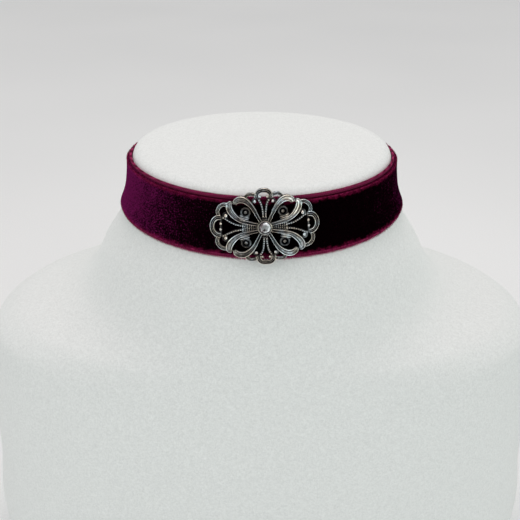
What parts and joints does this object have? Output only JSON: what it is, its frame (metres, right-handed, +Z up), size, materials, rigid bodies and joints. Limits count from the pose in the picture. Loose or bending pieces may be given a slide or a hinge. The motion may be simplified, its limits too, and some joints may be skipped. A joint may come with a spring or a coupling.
{
  "type": "choker necklace on a neck bust",
  "caption": "Velvet ribbon choker with a pierced oval ornament and one small clear stone, fastened by a plate clasp, on a low neck bust covered in pale velvet.",
  "frame": {"origin": "middle of the bust's footprint, on the surface that the bust stands on", "axes": "+Z up, -Y is the front, where the ornament is, +X to the right of someone who looks at the front"},
  "size_m": [0.258, 0.144, 0.2044],
  "materials": {
    "bust_velvet": "short white velvet pile stretched over the bust, faintly mottled",
    "ribbon_velvet": "dense burgundy velvet pile, near black where it is seen face on, with a purple sheen at the sides and bare woven selvedges",
    "aged_silver": "antiqued silver, dark oxide in the recesses and polished rims",
    "crystal": "clear cut crystal with a foiled back",
    "clasp_steel": "plain satin steel plate"
  },
  "bodies": {
    "root": {"neck_bust": "bust_velvet", "velvet_ribbon": "ribbon_velvet", "filigree_ornament": "aged_silver", "centre_stone": "crystal", "back_clasp": "clasp_steel"}
  },
  "joints": []
}
